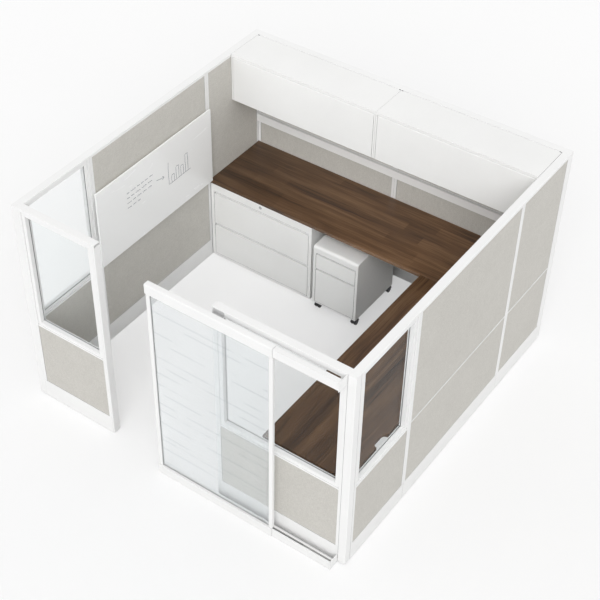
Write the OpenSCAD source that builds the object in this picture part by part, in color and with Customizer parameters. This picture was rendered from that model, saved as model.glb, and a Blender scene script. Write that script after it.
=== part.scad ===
// Cubicle workstation: a square of wall panels with a glazed sliding door, an L-shaped
// worksurface, two overhead cabinets, a lateral file and a mobile pedestal.
// X runs to the right along the back wall, Y from the door side to the back wall, Z up.
// The origin is on the floor, under the middle of the whole outline.

/* [Walls] */
// Width of one module of the side walls, half of a wide panel
module_w = 609.5; // [480:0.5:760]
// Thickness of the walls and width of the corner posts
wall_t = 55; // [50:1:75]
// Height of the walls with their top caps
wall_h = 1651; // [1580:1:1900]
// Height of the base covers
base_h = 150; // [110:1:190]
// Height of the seam between the lower and the upper tiles
seam_z = 709; // [690:1:760]
// Visible width of a panel frame's stile
stile_w = 20; // [18:1:30]
// Height of the frame's top rail, under the cap
top_rail_h = 4; // [4:0.5:20]
// Height of the top caps
cap_h = 18; // [14:1:30]
// Thickness of the trims that close the wall ends at the doorway
trim_t = 12; // [6:1:20]

/* [Tiles and windows] */
// Thickness of a fabric tile
tile_t = 12; // [8:0.5:16]
// Height of the frame strip between a lower and an upper tile
seam_h = 10; // [6:1:20]
// Height of a window opening's lower edge above the floor
window_z = 684; // [660:1:760]
// Height of the rail under a window
window_rail_h = 10; // [8:1:40]
// Thickness of the window glass
glass_t = 6; // [4:0.5:8]
// Depth of the glass behind the outer face of the wall
glass_depth = 35; // [28:0.5:38]
// Width of the beads that hold the glass
bead_w = 28; // [20:0.5:32]

/* [Sliding door] */
// Width of the door
door_w = 914; // [900:1:920]
// How far the door laps over each side of the doorway when it is shut
door_lap = 12; // [6:1:30]
// How far the door stands open as drawn
door_open = 469; // [100:1:600]
// Space between the wall and the back of the door's top rail
door_gap = 44; // [36:1:60]
// Depth of the door's top and bottom rails
hood_w = 40; // [38:1:60]
// Height of the door's top and bottom rails
hood_h = 71; // [68:1:90]
// Wall thickness of the door's rails
hood_wall = 3; // [2:0.5:3.5]
// Width of the door's stiles
door_stile_w = 28; // [20:1:45]
// Thickness of the door's glass
door_glass_t = 8; // [6:0.5:12]

/* [Worksurface] */
// Height of the worksurface's top
desk_h = 722; // [715:1:780]
// Thickness of the worksurface
desk_t = 28; // [22:1:34]
// Depth of the worksurface, the same on both legs
desk_d = 610; // [560:1:620]
// Length of the cord cut-out in the return's wall edge
scallop_l = 130; // [60:1:200]
// Depth of the cord cut-out
scallop_d = 30; // [15:1:45]
// Distance of the cord cut-out from the front wall
scallop_from_front = 385; // [150:1:480]

/* [Overhead cabinets] */
// Width of one overhead cabinet
overhead_w = 1216; // [900:1:1300]
// Gap beside and between the overhead cabinets
overhead_gap = 2; // [1:0.5:4]
// Height of the overhead cabinets
overhead_h = 380; // [330:1:450]
// Depth of the overhead cabinets
overhead_d = 322; // [280:1:360]
// Thickness of an overhead cabinet's ends
overhead_side_t = 12; // [12:1:22]
// Thickness of an overhead cabinet's top
overhead_top_t = 20; // [15:1:28]
// Thickness of an overhead door
overhead_door_t = 18; // [16:1:24]

/* [Wall rail and board] */
// Height of the wall rail's lower edge above the floor
rail_z = 886; // [860:1:960]
// Height of the wall rail
rail_h = 104; // [80:1:130]
// Depth of the wall rail
rail_d = 24; // [18:1:40]
// Width of the whiteboard
board_w = 1227; // [900:1:1300]
// Height of the whiteboard
board_h = 628; // [450:1:700]
// Thickness of the whiteboard
board_t = 12; // [8:1:20]
// Height of the whiteboard's lower edge above the floor
board_z = 727; // [725:1:900]
// Distance of the whiteboard from the front wall
board_from_front = 597; // [580:1:650]

/* [Lateral file] */
// Width of the lateral file
file_w = 914; // [760:1:930]
// Depth of the lateral file
file_d = 500; // [430:1:560]
// Gap between the lateral file and the underside of the worksurface
file_top_gap = 4; // [2:1:20]
// Distance of the lateral file's face behind the worksurface's front edge
file_setback = 6; // [0:1:30]
// Height of the band above the file's drawers
file_band_h = 65; // [50:1:90]
// Height of the band below the file's drawers
file_sill_h = 18; // [8:1:40]

/* [Pedestal] */
// Width of the pedestal
pedestal_w = 381; // [360:1:390]
// Depth of the pedestal
pedestal_d = 505; // [440:1:540]
// Height of the pedestal's top above the floor
pedestal_top = 605; // [540:1:612]
// Gap between the lateral file and the pedestal
pedestal_from_file = 64; // [10:1:90]
// How far the pedestal stands out in front of the worksurface
pedestal_out = 58; // [0:1:120]
// Height of the band above the pedestal's drawers
pedestal_band_h = 57; // [45:1:80]
// Height of the band below the pedestal's drawers
pedestal_sill_h = 10; // [8:1:30]
// Height of the upper pedestal drawer's face
small_drawer_h = 139; // [110:1:190]

/* [Casters] */
// Radius of the caster wheels
wheel_r = 25; // [20:0.5:28]
// Thickness of each of a caster's two wheels
wheel_t = 15.5; // [7:0.5:17]
// Height of the pedestal's underside above the floor
caster_h = 72; // [68:1:85]
// Trail of the wheels behind the swivel
caster_trail = 15; // [10:0.5:20]

/* [Hidden] */
$fn = 32;

// Colours
white = [0.93, 0.93, 0.92];
fabric = [0.76, 0.745, 0.715];
glass_tint = [0.78, 0.87, 0.88, 0.35];
frost_tint = [0.84, 0.9, 0.92, 0.45];
walnut = [0.3, 0.22, 0.17];
metal_grey = [0.45, 0.46, 0.47];
black = [0.08, 0.08, 0.09];

// General clearances and the one overrun for cuts
overrun = 1;
slide_gap = 0.5;
end_gap = 1;
seat_gap = 2;
edge_r = 3;

// Plan: each wall is four modules long between its posts, and the modules of the back and
// front walls are as wide as the two overhead cabinets need
side_share = 4;
inner_w = 2 * overhead_w + 3 * overhead_gap;
bay_w = inner_w / side_share;
wall_w = inner_w + 2 * wall_t;
wall_l = side_share * module_w + 2 * wall_t;
door_reach = door_gap + hood_w;
x0 = -wall_w / 2;
x1 = wall_w / 2;
y0 = -(wall_l + door_reach) / 2 + door_reach;
y1 = y0 + wall_l;
inner_x0 = x0 + wall_t;
inner_x1 = x1 - wall_t;
inner_y0 = y0 + wall_t;
inner_y1 = y1 - wall_t;

// Walls in the order in which they follow each other round the plan
WALLS = ["front", "right", "back", "left"];
corners = [[x0, y0], [x1, y0], [x1, y1], [x0, y1]];

// The doorway stands behind the door, one module from the left
doorway_x0 = inner_x0 + bay_w + trim_t;
doorway_x1 = doorway_x0 + door_w - 2 * door_lap;
front_panel_share = (doorway_x1 + trim_t - inner_x0) / bay_w;

// Panels of each wall, read along the wall: start, width and whether it has a window.
// Starts and widths are shares of a module.
panel_shares = [
    [[0, 1, true], [front_panel_share, side_share - front_panel_share, true]],
    [[0, 1, true], [1, 2, false], [3, 1, false]],
    [[0, 2, false], [2, 2, false]],
    [[0, 1, false], [1, 2, false], [3, 1, true]]
];

// Panel frames
frame_top = wall_h - cap_h;
lip_w = 8;
tile_inset = 1;
tile_gap = 1.5;
tile_edge = 2;
tile_pocket = tile_inset + tile_t;
base_inset = 6;
core_t = wall_t - 2 * base_inset;
panel_joint = 1.2;
foot_rail_h = 40;
leg_z = 25;
channel_flange = 3;
channel_web = 2.5;
upper_z0 = seam_z + seam_h / 2;
upper_z1 = frame_top - top_rail_h;
post_z = 10;
post_wall = 3;
cap_wall = 2.5;
cap_edge_r = 2;

// Base covers
cover_t = 3;
cover_gap = 1;
cover_z = 4;
cover_hem = 8;
cover_top = base_h - cover_gap / 2;

// Windows
glass_edge_gap = 2;
bead_set = 6;
bead_joint = 0.3;
bead_front_t = glass_depth - bead_set;
bead_back_t = wall_t - glass_depth - glass_t - bead_set;

// Levelling feet
foot_r = 18;
foot_disc_h = 6;
foot_stem_r = 6;
trim_z = foot_disc_h + seat_gap;

// Worksurface
desk_edge_r = 3;
desk_gap = 2;
desk_front = inner_y1 - desk_gap - desk_d;
desk_z = desk_h - desk_t;
desk_seam = 2;
plate_t = 3;
plate_l = 300;
plate_w = 120;
bracket_t = 4;
bracket_flange_w = 32;
bracket_reach = 430;
bracket_drop = 75;
bracket_nose = 14;
bracket_root = 45;
cleat_w = 28;
cleat_l = 420;
back_bracket_shares = [0.15, 2];
right_bracket_shares = [0.15, 1, 2];

// Whiteboard and wall rail
clip_t = 18;
clip_h = 30;
board_corner_r = 4;
rail_wall = 3;
rail_lip_d = 9;
rail_slot = 12;
rail_end_t = 4;
rail_x0 = inner_x0 + desk_gap;
rail_x1 = inner_x1 - desk_gap;
rail_y = inner_y1 - rail_d;
rail_cover_h = rail_h - rail_slot;

// Overhead cabinets
overhead_back_gap = 3;
overhead_bottom_t = 15;
overhead_back_t = 9;
overhead_z = wall_h - overhead_h;
overhead_back = inner_y1 - overhead_back_gap;
overhead_front = overhead_back - overhead_d;
overhead_door_gap = 3;
sheet_t = 1.5;
pin_r = 4;
pin_reach = 11;
pin_gap = 0.3;
pivot_block = 14;
hook_w = 14;
hook_h = 60;
hook_d = 5;
hook_inset = 2;
overhead_door_r = overhead_door_t / 2;
overhead_door_w = overhead_w - 2 * overhead_side_t - 2 * overhead_door_gap;
overhead_door_top = wall_h - overhead_top_t - overhead_door_gap;
overhead_door_h = overhead_door_top - overhead_z;
overhead_xs = [inner_x0 + overhead_gap, inner_x0 + overhead_w + 2 * overhead_gap];
hook_places = [hook_inset, overhead_w - hook_inset - hook_w];
pivot_y = overhead_front + overhead_door_r;
pivot_z = overhead_door_top - overhead_door_r;

// Sliding door: the hood wraps round a fixed track, and a carriage runs inside the track
hood_back = y0 - door_gap;
hood_front = hood_back - hood_w;
hood_edge_r = 6;
door_closed_x = doorway_x0 - door_lap;
door_x = door_closed_x + door_open;
end_plate_t = 5;
track_x1 = inner_x1 - end_plate_t;
track_x0 = doorway_x1 + trim_t;
hood_end_t = 3;
door_open_x = min(track_x1 - end_gap - door_w, track_x0 - end_gap - hood_end_t);
door_travel = door_open_x - door_closed_x;
track_gap = 2;
track_wall = 2.5;
track_lip = 6;
track_front = hood_front + hood_wall + track_gap;
track_w = hood_back - track_front;
track_z1 = wall_h - hood_wall - track_gap;
track_z0 = wall_h - hood_h + hood_wall + track_gap;
carriage_gap = 2;
carriage_wall = 2.5;
carriage_lip = 3;
carriage_l = door_w - hood_end_t - end_gap;
carriage_x = door_closed_x + door_travel / 2 + door_open / 2 + hood_end_t + end_gap;
carriage_front = track_front + track_wall + carriage_gap;
carriage_w = track_w - 2 * track_wall - 2 * carriage_gap;
carriage_z1 = track_z1 - track_wall - carriage_gap;
carriage_z0 = track_z0 + track_wall + carriage_gap;
pad_t = carriage_gap - slide_gap;
pad_l = 40;
guide_l = 50;
guide_neck = 6;
guide_head_h = 24;
door_rest_z = 3;
floor_rail_top = hood_h + door_rest_z;
floor_track_front = hood_front + hood_wall + track_gap;
floor_track_w = hood_w - 2 * hood_wall - 2 * track_gap;
floor_track_h = hood_h - hood_wall - track_gap + door_rest_z;
floor_lip = 5;
floor_carriage_w = floor_track_w - 2 * track_wall - 2 * carriage_gap;
floor_carriage_h = floor_track_h - 2 * track_wall - 2 * carriage_gap;
floor_carriage_front = floor_track_front + track_wall + carriage_gap;
bracket_l = 75;
bracket_h = 28;
door_stile_d = 24;
door_mid_y = hood_front + hood_w / 2;

// Storage cabinets
case_face_d = 20;
tray_share = 0.72;
case_back_t = 1.5;
front_t = 17;
front_gap = 3;
file_pull_h = 22;
pedestal_pull_h = 15;
pull_d = 13;
pull_lip = 3;
pull_set = 1;
tray_gap = 3;
tray_back_gap = 30;
tray_rise = 8;
runner_h = 34;
runner_ledge = 9;
runner_ledge_t = 2;
lock_r = 9;
lock_l = 14;
lock_out = 2.5;
lock_slot_w = 1.6;
lock_slot_l = 8;
lock_drop = 27;

file_stile = 26;
file_foot_h = 8;
file_foot_r = 16;
file_foot_inset = 40;
file_wall_gap = 4;
file_x = inner_x0 + file_wall_gap;
file_y = desk_front + file_setback;
file_top = desk_z - file_top_gap;
file_h = file_top - file_foot_h;
file_face_h = file_h - file_band_h - file_sill_h;
file_drawer_h = (file_face_h - 3 * front_gap) / 2;
file_drawer_z = file_foot_h + file_sill_h + front_gap;

pedestal_x = file_x + file_w + pedestal_from_file;
pedestal_y = desk_front - pedestal_out;
pedestal_h = pedestal_top - caster_h;
pedestal_round = 22;
pedestal_stile = 20;
pedestal_face_h = pedestal_h - pedestal_band_h - pedestal_sill_h;
large_drawer_h = pedestal_face_h - small_drawer_h - 3 * front_gap;
pedestal_drawer_z = caster_h + pedestal_sill_h + front_gap;

// Casters
caster_plate_t = 3;
caster_plate_w = 44;
caster_inset = 30;
hood_gap = 1.5;
hood_t = 2;
axle_r = 3;
axle_gap = 0.3;
web_w = 8;
web_gap = 1;
stem_r = 6;
caster_top = caster_h - caster_plate_t;
caster_w = web_w + 2 * web_gap + 2 * wheel_t;
caster_hood_r = wheel_r + hood_gap + hood_t;
caster_hood_inner_r = wheel_r + hood_gap;

// Places of the four casters in the pedestal's plan: left or right, front or back
caster_places = [
    [caster_inset, caster_inset], [pedestal_w - caster_inset, caster_inset],
    [caster_inset, pedestal_d - caster_inset],
    [pedestal_w - caster_inset, pedestal_d - caster_inset]
];

// Quarter turns from the front wall to the named one
function turns(side) = search([side], WALLS)[0];

// Draws a wall's pieces along +X, with the wall's outer face at y = 0 and its inside at +Y
module on_wall(side) {
    translate([corners[turns(side)][0], corners[turns(side)][1], 0])
        rotate(90 * turns(side))
            children();
}

function side_module(side) = side == "front" || side == "back" ? bay_w : module_w;

function side_panels(side) = panel_shares[turns(side)];

// Sweeps a profile drawn as depth and height along +X
module sweep_x(length) {
    rotate([90, 0, 90])
        linear_extrude(length)
            children();
}

// Sweeps a profile drawn as width and height along +Y
module sweep_y(length) {
    translate([0, length, 0])
        rotate([90, 0, 0])
            linear_extrude(length)
                children();
}

module rounded_rect(w, h, r) {
    translate([r, 0])
        square([w - 2 * r, h]);
    translate([0, r])
        square([w, h - 2 * r]);
    for (x = [r, w - r], y = [r, h - r])
        translate([x, y])
            circle(r);
}

// Rectangle with only its two upper corners rounded
module rounded_top_rect(w, h, r) {
    square([w, h - r]);
    translate([r, 0])
        square([w - 2 * r, h]);
    for (x = [r, w - r])
        translate([x, h - r])
            circle(r);
}

// Panel frame with a lipped pocket for each tile, and channels on its hidden edges
module panel_frame(w, window) {
    opening_w = w - 2 * stile_w;
    difference() {
        union() {
            translate([0, 0, base_h])
                cube([w, wall_t, frame_top - base_h]);
            translate([0, base_inset, base_h - foot_rail_h])
                cube([w, core_t, foot_rail_h]);
            for (x = [0, w - stile_w])
                translate([x, base_inset, leg_z])
                    cube([stile_w, core_t, base_h - leg_z]);
        }
        tile_opening(w, base_h, low_top(window) - base_h);
        if (window) {
            translate([stile_w, -overrun, window_z])
                cube([opening_w, wall_t + 2 * overrun, upper_z1 - window_z]);
        } else {
            tile_opening(w, upper_z0, upper_z1 - upper_z0);
        }
        for (x = [-overrun, w - stile_w + channel_web])
            translate([x, channel_flange, base_h])
                cube([
                    stile_w - channel_web + overrun, wall_t - 2 * channel_flange,
                    frame_top - base_h + overrun
                ]);
        translate([-overrun, channel_flange, frame_top - top_rail_h + channel_web])
            cube([w + 2 * overrun, wall_t - 2 * channel_flange, top_rail_h]);
        translate([stile_w, base_inset + channel_flange, base_h - foot_rail_h - overrun])
            cube([opening_w, core_t - 2 * channel_flange, foot_rail_h - channel_web + overrun]);
    }
}

// Height of a panel's lower tiles' upper edge
function low_top(window) = window ? window_z - window_rail_h : seam_z - seam_h / 2;

// Cut for a pair of tiles: a pocket from each face and one between the lips that they lie
// against, joined by a smaller hole
module tile_opening(w, z, h) {
    lip_y = tile_pocket + channel_web;
    for (y = [-overrun, wall_t - tile_pocket])
        translate([stile_w, y, z])
            cube([w - 2 * stile_w, tile_pocket + overrun, h]);
    translate([stile_w, lip_y, z])
        cube([w - 2 * stile_w, wall_t - 2 * lip_y, h]);
    translate([stile_w + lip_w, 0, z + lip_w])
        cube([w - 2 * stile_w - 2 * lip_w, wall_t, h - 2 * lip_w]);
}

// Tile section of a given length, chamfered at both ends of its face
module tile_profile(length) {
    polygon([
        [tile_t, 0], [tile_t, length], [tile_edge, length], [0, length - tile_edge],
        [0, tile_edge], [tile_edge, 0]
    ]);
}

// Fabric tile with chamfered edges all round its face, which looks towards -Y
module tile(w, h) {
    intersection() {
        sweep_x(w)
            tile_profile(h);
        linear_extrude(h)
            mirror([1, -1])
                tile_profile(w);
    }
}

// The two tiles of one opening, one on each face of the wall
module tile_pair(w, z, h) {
    tile_w = w - 2 * stile_w - 2 * tile_gap;
    tile_h = h - 2 * tile_gap;
    translate([stile_w + tile_gap, tile_inset, z + tile_gap])
        tile(tile_w, tile_h);
    translate([w - stile_w - tile_gap, wall_t - tile_inset, z + tile_gap])
        rotate(180)
            tile(tile_w, tile_h);
}

module panel_tiles(w, window) {
    tile_pair(w, base_h, low_top(window) - base_h);
    if (!window)
        tile_pair(w, upper_z0, upper_z1 - upper_z0);
}

// Width of a panel, less the hairline joints at its sides
function panel_w(side, panel) = panel[1] * side_module(side) - panel_joint;

// Places one panel's pieces by its shares
module at_panel(side, panel) {
    on_wall(side)
        translate([wall_t + panel[0] * side_module(side) + panel_joint / 2, 0, 0])
            children();
}

module wall_frames(side) {
    color(white)
        for (panel = side_panels(side))
            at_panel(side, panel)
                panel_frame(panel_w(side, panel), panel[2]);
}

module wall_tiles(side) {
    color(fabric)
        for (panel = side_panels(side))
            at_panel(side, panel)
                panel_tiles(panel_w(side, panel), panel[2]);
}

module frames_left() { wall_frames("left"); }
module frames_back() { wall_frames("back"); }
module frames_right() { wall_frames("right"); }
module frames_front() { wall_frames("front"); }
module tiles_left() { wall_tiles("left"); }
module tiles_back() { wall_tiles("back"); }
module tiles_right() { wall_tiles("right"); }
module tiles_front() { wall_tiles("front"); }

module corner_posts() {
    color(white)
        for (side = WALLS)
            on_wall(side)
                translate([0, 0, post_z])
                    linear_extrude(frame_top - post_z)
                        difference() {
                            rounded_rect(wall_t, wall_t, edge_r);
                            translate([post_wall, post_wall])
                                square(wall_t - 2 * post_wall);
                        }
}

module corner_caps() {
    hollow_w = wall_t - 2 * cap_wall;
    color(white)
        for (side = WALLS)
            on_wall(side)
                translate([0, 0, frame_top])
                    difference() {
                        linear_extrude(cap_h)
                            rounded_rect(wall_t, wall_t, edge_r);
                        translate([cap_wall, cap_wall, -overrun])
                            cube([hollow_w, hollow_w, cap_h - cap_wall + overrun]);
                    }
}

// One run of inverted channel that caps the panels from one place to another along a wall
module cap_run(start, end) {
    translate([start, 0, frame_top])
        sweep_x(end - start)
            difference() {
                rounded_top_rect(wall_t, cap_h, cap_edge_r);
                translate([cap_wall, -overrun])
                    square([wall_t - 2 * cap_wall, cap_h - cap_wall + overrun]);
            }
}

module top_caps() {
    color(white) {
        for (side = ["right", "back", "left"])
            on_wall(side)
                cap_run(wall_t, wall_t + side_share * side_module(side));
        on_wall("front") {
            cap_run(wall_t, doorway_x0 - x0);
            cap_run(doorway_x1 - x0, wall_w - wall_t);
        }
    }
}

// Base cover: a plate with a hem at its foot and a return that clips on the frame's rail
module base_cover(w) {
    translate([cover_gap / 2, 0, 0])
        sweep_x(w - cover_gap)
            polygon([
                [0, cover_z], [base_inset, cover_z], [base_inset, cover_z + cover_t],
                [cover_t, cover_z + cover_t], [cover_t, cover_top - cover_hem],
                [base_inset, cover_top - cover_hem], [base_inset, cover_top], [0, cover_top]
            ]);
}

module base_covers() {
    color(white)
        for (side = WALLS, panel = side_panels(side))
            at_panel(side, panel) {
                base_cover(panel_w(side, panel));
                translate([0, wall_t, 0])
                    mirror([0, 1, 0])
                        base_cover(panel_w(side, panel));
            }
}

module end_trims() {
    color(white)
        for (x = [doorway_x0 - trim_t, doorway_x1])
            translate([x, y0, trim_z])
                cube([trim_t, wall_t, frame_top - trim_z]);
}

module window_glass() {
    color(glass_tint)
        for (side = WALLS, panel = side_panels(side))
            if (panel[2])
                at_panel(side, panel)
                    translate([stile_w + glass_edge_gap, glass_depth, window_z])
                        cube([
                            panel_w(side, panel) - 2 * stile_w - 2 * glass_edge_gap,
                            glass_t, upper_z1 - window_z - glass_edge_gap
                        ]);
}

// Four bars of bead that line a window opening on one side of its glass
module bead_bars(w, t) {
    opening_w = w - 2 * stile_w;
    opening_h = upper_z1 - window_z;
    translate([stile_w, 0, window_z]) {
        for (z = [0, opening_h - bead_w])
            translate([0, 0, z])
                cube([opening_w, t, bead_w]);
        for (x = [0, opening_w - bead_w])
            translate([x, 0, bead_w + bead_joint])
                cube([bead_w, t, opening_h - 2 * bead_w - 2 * bead_joint]);
    }
}

module glazing_beads() {
    color(white)
        for (side = WALLS, panel = side_panels(side))
            if (panel[2])
                at_panel(side, panel) {
                    translate([0, bead_set, 0])
                        bead_bars(panel_w(side, panel), bead_front_t);
                    translate([0, glass_depth + glass_t, 0])
                        bead_bars(panel_w(side, panel), bead_back_t);
                }
}

module levelling_foot(height) {
    translate([0, wall_t / 2, 0]) {
        cylinder(h = foot_disc_h, r = foot_r);
        cylinder(h = height, r = foot_stem_r);
    }
}

// Feet under the posts' floor plates, under each joint between panels and under the wall ends
module levelling_feet() {
    color(metal_grey) {
        for (side = WALLS)
            on_wall(side)
                translate([wall_t / 2, 0, 0]) {
                    levelling_foot(post_z - plate_t);
                    translate([-wall_t / 2 + edge_r, edge_r, post_z - plate_t])
                        cube([wall_t - 2 * edge_r, wall_t - 2 * edge_r, plate_t]);
                }
        for (side = ["right", "back", "left"], panel = side_panels(side))
            if (panel[0] > 0)
                at_panel(side, panel)
                    levelling_foot(leg_z);
        on_wall("front")
            for (x = [doorway_x0 - trim_t - stile_w / 2, doorway_x1 + trim_t + stile_w / 2])
                translate([x - x0, 0, 0])
                    levelling_foot(leg_z);
    }
}

// Worksurface section: square at the wall, softened at the front edge on the left
module desk_profile() {
    translate([desk_edge_r, 0])
        square([desk_d - desk_edge_r, desk_t]);
    translate([0, desk_edge_r])
        square([desk_edge_r, desk_t - 2 * desk_edge_r]);
    for (z = [desk_edge_r, desk_t - desk_edge_r])
        translate([desk_edge_r, z])
            circle(desk_edge_r);
}

module worksurface_main() {
    color(walnut)
        translate([inner_x0 + desk_gap, desk_front, desk_z])
            sweep_x(inner_x1 - inner_x0 - 2 * desk_gap)
                desk_profile();
}

module worksurface_return() {
    length = desk_front - desk_seam - inner_y0 - desk_gap;
    color(walnut)
        translate([inner_x1 - desk_gap - desk_d, inner_y0 + desk_gap, desk_z])
            difference() {
                sweep_y(length)
                    desk_profile();
                translate([desk_d, scallop_from_front - desk_gap, -overrun])
                    linear_extrude(desk_t + 2 * overrun)
                        scallop();
            }
}

// Half oval with round ends, open towards the wall
module scallop() {
    translate([-scallop_d, -scallop_l / 2 + scallop_d])
        square([scallop_d + overrun, scallop_l - 2 * scallop_d]);
    for (side = [-1, 1])
        translate([0, side * (scallop_l / 2 - scallop_d)])
            circle(scallop_d);
}

// Cantilever bracket: a tapered web with a flange on top, reaching from a wall's inner face
module cantilever() {
    translate([-bracket_t / 2, 0, desk_z])
        sweep_x(bracket_t)
            polygon([
                [0, 0], [bracket_reach, 0], [bracket_reach, -bracket_nose],
                [bracket_root, -bracket_drop], [0, -bracket_drop]
            ]);
    translate([-bracket_flange_w / 2, 0, desk_z - plate_t])
        cube([bracket_flange_w, bracket_reach, plate_t]);
}

module worksurface_brackets() {
    color(metal_grey) {
        for (share = back_bracket_shares)
            on_wall("back")
                translate([wall_t + share * bay_w, wall_t, 0])
                    cantilever();
        for (share = right_bracket_shares)
            on_wall("right")
                translate([wall_t + share * module_w, wall_t, 0])
                    cantilever();
        translate([inner_x0, inner_y1 - desk_d / 2 - cleat_l / 2, desk_z - cleat_w])
            sweep_y(cleat_l)
                polygon([
                    [0, 0], [plate_t, 0], [plate_t, cleat_w - plate_t],
                    [cleat_w, cleat_w - plate_t], [cleat_w, cleat_w], [0, cleat_w]
                ]);
    }
}

// Flat plate that joins the two worksurfaces under their seam
module joining_plate() {
    plate_x = inner_x1 - desk_gap - (desk_d + plate_l) / 2;
    color(metal_grey)
        translate([plate_x, desk_front - plate_w / 2, desk_z - plate_t])
            linear_extrude(plate_t)
                rounded_rect(plate_l, plate_w, board_corner_r);
}

// Board on two strips that hook into the wall
module whiteboard() {
    color(white)
        translate([inner_x0, inner_y0 + board_from_front, board_z]) {
            translate([clip_t, 0, 0])
                sweep_x(board_t)
                    rounded_rect(board_w, board_h, board_corner_r);
            for (z = [clip_h, board_h - 2 * clip_h])
                translate([0, clip_h, z])
                    cube([clip_t, board_w - 2 * clip_h, clip_h]);
        }
}

// Sweeps a profile of the wall rail from one of its end plates to the other
module rail_run() {
    translate([rail_x0 + rail_end_t, rail_y, rail_z])
        sweep_x(rail_x1 - rail_x0 - 2 * rail_end_t)
            children();
}

// Back plate of the wall rail
module wall_rail() {
    color(white)
        rail_run()
            translate([rail_d - rail_wall, 0])
                square([rail_wall, rail_h]);
}

// Cover in front of the plate, with a shelf back to it that leaves a slot for hooks above
module rail_cover() {
    color(white)
        rail_run() {
            square([rail_wall, rail_cover_h]);
            translate([0, rail_cover_h - rail_wall])
                square([rail_d - rail_wall, rail_wall]);
        }
}

// Lip along the plate's top edge, over the slot
module rail_lip() {
    color(white)
        rail_run()
            translate([rail_d - rail_wall - rail_lip_d, rail_h - rail_wall])
                square([rail_lip_d, rail_wall]);
}

module rail_ends() {
    color(white)
        for (x = [rail_x0, rail_x1 - rail_end_t])
            translate([x, rail_y, rail_z])
                cube([rail_end_t, rail_d, rail_h]);
}

// Overhead cabinet shell, open at the front, with the doors hung inside its ends and a notch
// for a hook at each end of its back
module overhead_shell(x) {
    bay_inner_w = overhead_w - 2 * overhead_side_t;
    color(white)
        translate([x, overhead_front, overhead_z])
            difference() {
                cube([overhead_w, overhead_d, overhead_h]);
                translate([overhead_side_t, -overrun, overhead_bottom_t])
                    cube([
                        bay_inner_w, overhead_d - overhead_back_t + overrun,
                        overhead_h - overhead_bottom_t - overhead_top_t
                    ]);
                translate([overhead_side_t, -overrun, -overrun])
                    cube([
                        bay_inner_w, overhead_door_t + overhead_door_gap + overrun,
                        overhead_h - overhead_top_t + overrun
                    ]);
                for (end = hook_places)
                    translate([end - slide_gap, overhead_d - hook_d, overhead_h - hook_h - slide_gap])
                        cube([hook_w + 2 * slide_gap, hook_d + overrun, hook_h + slide_gap + overrun]);
            }
}

module overhead_shell_left() { overhead_shell(overhead_xs[0]); }
module overhead_shell_right() { overhead_shell(overhead_xs[1]); }

// Hooks that hang each cabinet on the wall, seen in the seam behind it
module overhead_hooks() {
    color(metal_grey)
        for (x = overhead_xs, end = hook_places)
            translate([x + end, overhead_back - hook_d, wall_h - hook_h])
                cube([hook_w, hook_d + overhead_back_gap, hook_h]);
}

// Pins on the cabinet ends that the doors turn on
module overhead_pins() {
    color(metal_grey)
        for (x = overhead_xs, end = [overhead_side_t, overhead_w - overhead_side_t - pin_reach])
            translate([x + end, pivot_y, pivot_z])
                rotate([0, 90, 0])
                    cylinder(h = pin_reach, r = pin_r);
}

module overhead_door_outline() {
    square([overhead_door_t, overhead_door_h - overhead_door_r]);
    translate([overhead_door_r, overhead_door_h - overhead_door_r])
        circle(overhead_door_r);
}

// Door as a folded pan with a round top edge, closed ends and a pivot block at each end
module overhead_door(x) {
    color(white)
        translate([x + overhead_side_t + overhead_door_gap, overhead_front, overhead_z])
            difference() {
                union() {
                    sweep_x(overhead_door_w)
                        difference() {
                            overhead_door_outline();
                            translate([sheet_t, sheet_t])
                                square([overhead_door_t, overhead_door_h - overhead_door_t - sheet_t]);
                            translate([overhead_door_r, overhead_door_h - overhead_door_r])
                                circle(overhead_door_r - sheet_t);
                        }
                    for (end = [0, overhead_door_w - sheet_t])
                        translate([end, 0, 0])
                            sweep_x(sheet_t)
                                overhead_door_outline();
                    for (end = [0, overhead_door_w - pivot_block])
                        translate([end, overhead_door_r, overhead_door_h - overhead_door_r])
                            rotate([0, 90, 0])
                                cylinder(h = pivot_block, r = overhead_door_r - sheet_t / 2);
                }
                translate([-overrun, overhead_door_r, overhead_door_h - overhead_door_r])
                    rotate([0, 90, 0])
                        cylinder(h = overhead_door_w + 2 * overrun, r = pin_r + pin_gap);
            }
}

module overhead_door_left() { overhead_door(overhead_xs[0]); }
module overhead_door_right() { overhead_door(overhead_xs[1]); }

// Outline of the door's top rail, rounded along its front top edge
module hood_outline() {
    square([hood_w, hood_h - hood_edge_r]);
    translate([hood_edge_r, 0])
        square([hood_w - hood_edge_r, hood_h]);
    translate([hood_edge_r, hood_h - hood_edge_r])
        circle(hood_edge_r);
}

// Door's top rail: front, top and sill of a hood that is open towards the wall
module hood_profile() {
    difference() {
        hood_outline();
        translate([hood_wall, hood_wall])
            square([hood_w, hood_h - 2 * hood_wall]);
    }
}

// Door's bottom rail: a hood over the floor track, open below
module floor_hood_profile() {
    difference() {
        square([hood_w, hood_h]);
        translate([hood_wall, -overrun])
            square([hood_w - 2 * hood_wall, hood_h - hood_wall + overrun]);
    }
}

// Both rails of the door, each closed by a plate at its left end
module door_rails() {
    color(white) {
        translate([door_x, hood_front, wall_h - hood_h]) {
            sweep_x(door_w)
                hood_profile();
            sweep_x(hood_end_t)
                hood_outline();
        }
        translate([door_x, hood_front, door_rest_z]) {
            sweep_x(door_w)
                floor_hood_profile();
            sweep_x(hood_end_t)
                square([hood_w, hood_h]);
        }
    }
}

module door_stiles() {
    color(white)
        for (x = [door_x, door_x + door_w - door_stile_w])
            translate([x, door_mid_y - door_stile_d / 2, floor_rail_top])
                linear_extrude(wall_h - hood_h - floor_rail_top)
                    rounded_rect(door_stile_w, door_stile_d, edge_r);
}

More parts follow.
